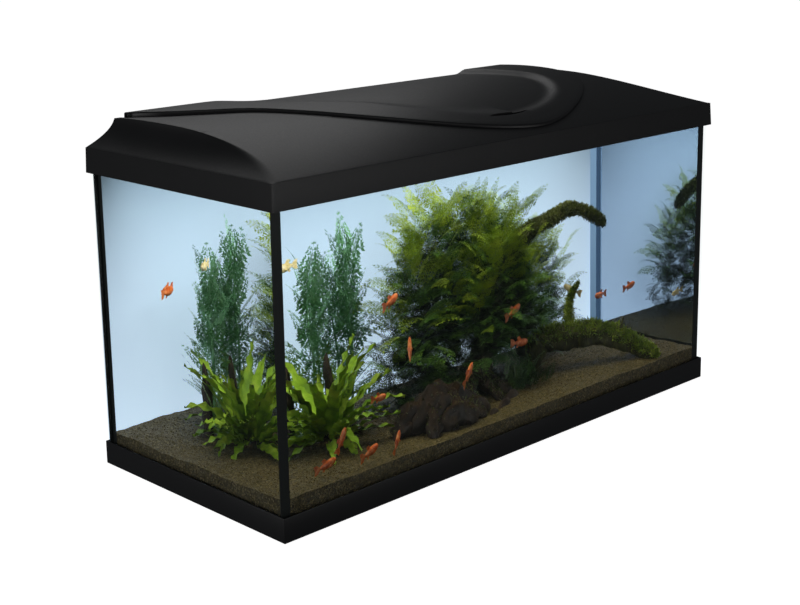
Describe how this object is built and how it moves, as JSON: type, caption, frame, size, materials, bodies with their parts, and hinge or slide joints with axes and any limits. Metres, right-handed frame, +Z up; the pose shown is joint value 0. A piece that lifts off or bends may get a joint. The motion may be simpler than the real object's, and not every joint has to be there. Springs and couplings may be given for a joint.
{
  "type": "aquarium",
  "caption": "Rectangular planted glass aquarium on a low black base frame, with an arched black hood that lifts off and a wavy hinged flap",
  "frame": {"origin": "middle of the footprint, on the surface the base frame stands on", "axes": "+Z up, +X along the length, front pane towards -Y"},
  "size_m": [0.8092, 0.3592, 0.4512],
  "materials": {
    "black_plastic": "moulded, satin with a fine grain",
    "glass": "clear float glass with polished edges",
    "silicone": "satin silicone",
    "foam": "closed-cell foam",
    "film": "matt printed film",
    "gravel": "fine dark brown gravel",
    "wood": "waterlogged driftwood",
    "leaf": "thin green leaves",
    "dark_leaf": "feathery dark green leaves",
    "steel": "plain steel",
    "aluminium": "bright bent sheet",
    "lamp_tube": "opal lamp tube",
    "white_plastic": "moulded lamp cap",
    "clear_plastic": "clear moulded cover",
    "gland_rubber": "matt rubber"
  },
  "bodies": {
    "tank": {"base_frame": "black_plastic", "foam_mat": "foam", "bottom_pane": "glass", "front_pane": "glass", "back_pane": "glass", "left_pane": "glass", "right_pane": "glass", "front_brace": "glass", "back_brace": "glass", "background_film": "film", "bead_front_left": "silicone", "bead_front_right": "silicone", "bead_back_left": "silicone", "bead_back_right": "silicone", "bead_floor": "silicone", "gravel_bed": "gravel", "driftwood_upright": "wood", "driftwood_low_branch": "wood", "root_lump": "wood", "fern": "leaf", "stem_plant_left": "dark_leaf", "stem_plant_right": "dark_leaf", "bush_left": "leaf", "bush_right": "leaf", "moss_clump": "dark_leaf"},
    "hood": {"hood_shell": "black_plastic", "hinge_bracket_left": "black_plastic", "hinge_bracket_right": "black_plastic", "hinge_pin_left": "steel", "hinge_pin_right": "steel", "light_housing": "black_plastic", "light_lens": "clear_plastic", "reflector": "aluminium", "tube_front": "lamp_tube", "tube_rear": "lamp_tube", "tube_socket_front_left": "white_plastic", "tube_socket_front_right": "white_plastic", "tube_socket_rear_left": "white_plastic", "tube_socket_rear_right": "white_plastic", "lamp_driver": "black_plastic", "light_screw_front_left": "steel", "light_screw_front_right": "steel", "light_screw_rear_left": "steel", "light_screw_rear_right": "steel", "cable_gland": "gland_rubber"},
    "flap": {"main_flap": "black_plastic"}
  },
  "joints": [
    {"name": "hood_lift", "type": "slide", "parent": "tank", "child": "hood", "axis": [0, 0, 1], "range_m": [0, 0.15]},
    {"name": "flap_hinge", "type": "hinge", "parent": "hood", "child": "flap", "pos_m": [0, 0.171, 0.4316], "axis": [-1, 0, 0], "range_deg": [0, 90]}
  ]
}
